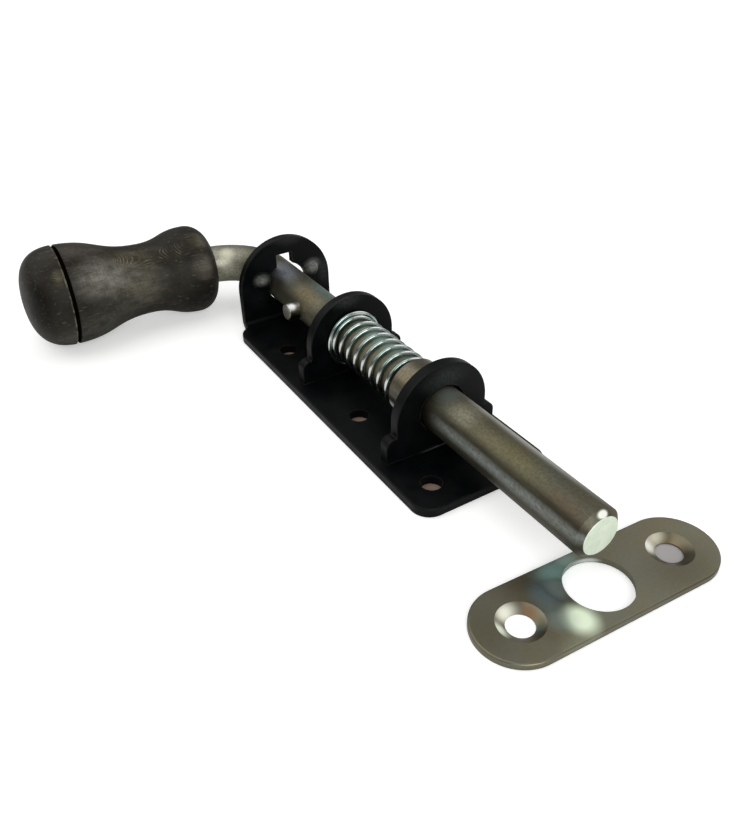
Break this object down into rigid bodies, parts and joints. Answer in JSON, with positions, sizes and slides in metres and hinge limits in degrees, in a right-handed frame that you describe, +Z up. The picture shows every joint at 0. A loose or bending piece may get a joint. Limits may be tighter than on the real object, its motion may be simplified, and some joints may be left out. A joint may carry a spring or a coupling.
{
  "type": "spring bolt",
  "caption": "Spring-loaded slide bolt: a round rod with a bent arm and turned wooden grip runs through the turned-up end and two upright ears of a screw-down plate, with a loose oblong keeper plate.",
  "frame": {"origin": "on the base plate's underside, midway between its front edge and the upturned end's front face", "axes": "+X along the rod towards its tip, +Z up out of the base plate, the handle lies towards -Y"},
  "size_m": [0.2582, 0.1413, 0.0416],
  "materials": {
    "black_paint": "satin black paint on pressed steel",
    "zinc_bar": "zinc plated, dull olive passivate",
    "spring_wire": "bright zinc plated wire",
    "zinc_plate": "zinc plated, dull olive passivate",
    "stained_wood": "turned beech with a dark stain and satin varnish"
  },
  "bodies": {
    "frame": {"base_plate": "black_paint", "middle_ear": "black_paint", "front_ear": "black_paint", "strike_plate": "zinc_plate"},
    "spring_end": {"spring": "spring_wire"},
    "bolt": {"bolt_rod": "zinc_bar", "cross_pin": "zinc_bar", "spring_collar": "zinc_bar", "handle": "stained_wood"}
  },
  "joints": [
    {"name": "bolt_slide", "type": "slide", "parent": "frame", "child": "spring_end", "axis": [-1, 0, 0], "range_m": [0, 0.019], "stiffness_N_per_m": 900, "springref_m": -0.012, "deforming": ["spring"]},
    {"name": "bolt_turn", "type": "hinge", "parent": "spring_end", "child": "bolt", "pos_m": [0, 0, 0.0174], "axis": [-1, 0, 0], "range_deg": [0, 175]}
  ]
}
